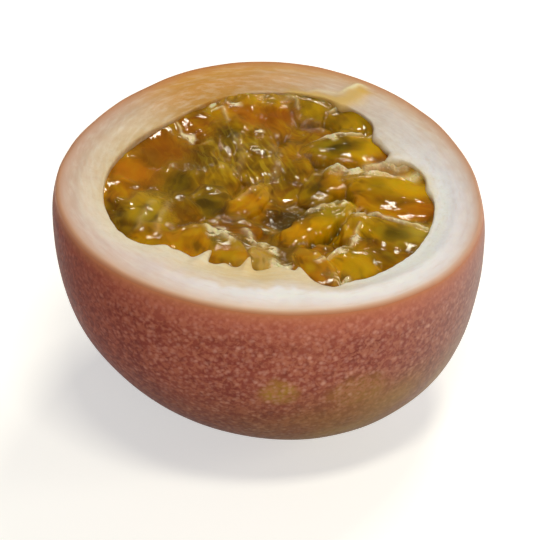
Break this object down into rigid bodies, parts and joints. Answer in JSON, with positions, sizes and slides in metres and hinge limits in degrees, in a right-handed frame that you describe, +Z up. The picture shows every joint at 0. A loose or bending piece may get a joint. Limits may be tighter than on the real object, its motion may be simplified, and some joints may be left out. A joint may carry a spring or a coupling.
{
  "type": "passion fruit half",
  "caption": "Cut half of a purple passion fruit resting on its rounded speckled skin, with thick white pith and a hollow full of amber seed sacs.",
  "frame": {"origin": "on the surface that the half rests on, under the middle of its outline", "axes": "+Z up, +X to the right and +Y away as the half is looked at from the front; the cut face tips 6.5 degrees down towards +X"},
  "size_m": [0.056, 0.0578, 0.0352],
  "materials": {
    "skin": "satin",
    "pulp": "gloss"
  },
  "bodies": {
    "root": {"shell": "skin", "pulp": "pulp"}
  },
  "joints": []
}
